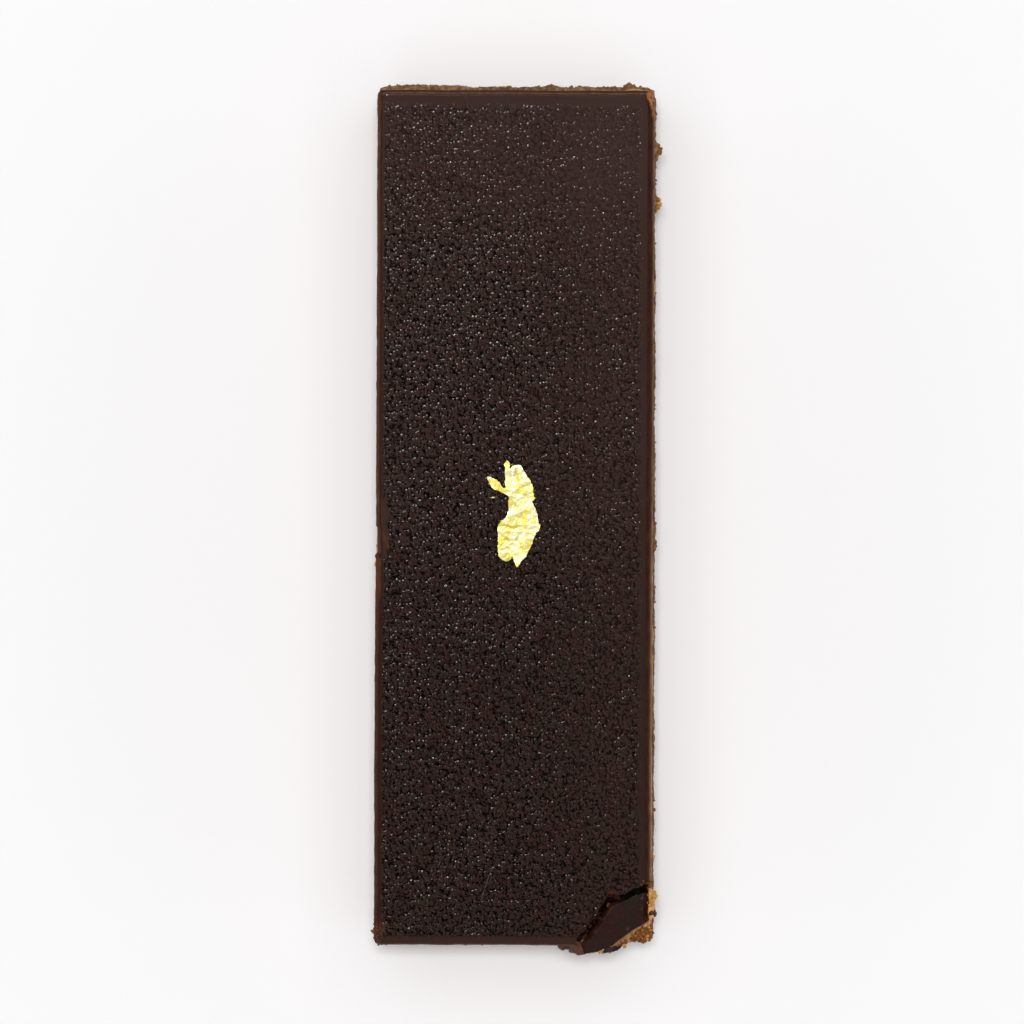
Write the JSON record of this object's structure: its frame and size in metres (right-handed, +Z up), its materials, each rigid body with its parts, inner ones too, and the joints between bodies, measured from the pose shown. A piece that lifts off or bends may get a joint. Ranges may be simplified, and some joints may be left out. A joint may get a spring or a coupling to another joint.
{
  "type": "opera cake",
  "caption": "Long cut bar of layered coffee and chocolate cake with a dark pebbled glaze, a snapped glaze corner and a fleck of gold leaf.",
  "frame": {"origin": "centre of the bar's base", "axes": "+Y along the bar, the snapped corner at the -Y end on the +X side, +Z up through the layers to the glaze"},
  "size_m": [0.0352, 0.1069, 0.029],
  "materials": {
    "joconde": "open crumbed sponge, coffee soaked, matte",
    "buttercream": "smooth coffee buttercream, soft sheen",
    "ganache": "dense dark chocolate, satin",
    "glaze": "dark chocolate glaze with a fine pebbled top, glossy",
    "gold_leaf": "crumpled bright gold leaf"
  },
  "bodies": {
    "root": {"joconde_bottom": "joconde", "buttercream_lower": "buttercream", "joconde_middle": "joconde", "ganache": "ganache", "joconde_top": "joconde", "buttercream_upper": "buttercream", "glaze": "glaze", "glaze_corner": "glaze", "gold_leaf": "gold_leaf"}
  },
  "joints": []
}
